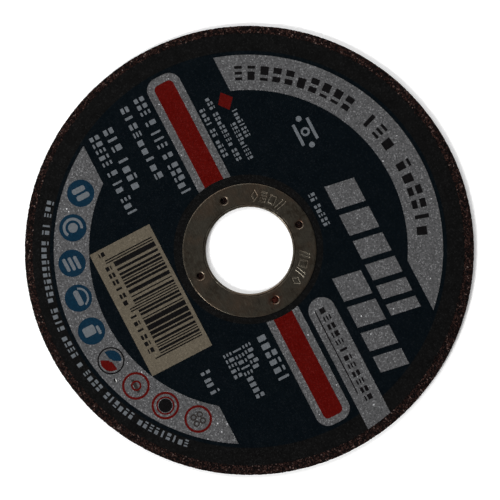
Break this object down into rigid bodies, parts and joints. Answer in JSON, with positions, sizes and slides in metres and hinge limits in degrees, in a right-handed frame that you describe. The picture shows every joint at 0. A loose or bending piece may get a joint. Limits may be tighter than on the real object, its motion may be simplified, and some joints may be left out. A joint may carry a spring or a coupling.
{
  "type": "cut-off wheel",
  "caption": "Thin bonded abrasive wheel for an angle grinder, with a printed paper label on its face, a glass net in its back and a steel ring in its bore.",
  "frame": {"origin": "on the bore's axis, in the plane of the back face that the wheel lies on", "axes": "+Z along the bore's axis, out of the labelled face; +X along the label's reading direction"},
  "size_m": [0.115, 0.115, 0.0012],
  "materials": {
    "bonded_grain": "coarse sharp grain in brown resin",
    "glass_yarn": "resin-soaked glass yarn",
    "ring_steel": "stamped tin plate, dull and lightly scratched",
    "black_paper": "satin, pebbled by the grain under it",
    "navy_ink": "satin print",
    "silver_ink": "metallic print with a fine sparkle",
    "red_ink": "satin print",
    "cream_ink": "satin print",
    "black_ink": "satin print"
  },
  "bodies": {
    "root": {"abrasive_disc": "bonded_grain", "glass_net": "glass_yarn", "bore_ring": "ring_steel", "label_paper": "black_paper", "navy_print": "navy_ink", "silver_print": "silver_ink", "red_print": "red_ink", "cream_print": "cream_ink", "black_print": "black_ink"}
  },
  "joints": []
}
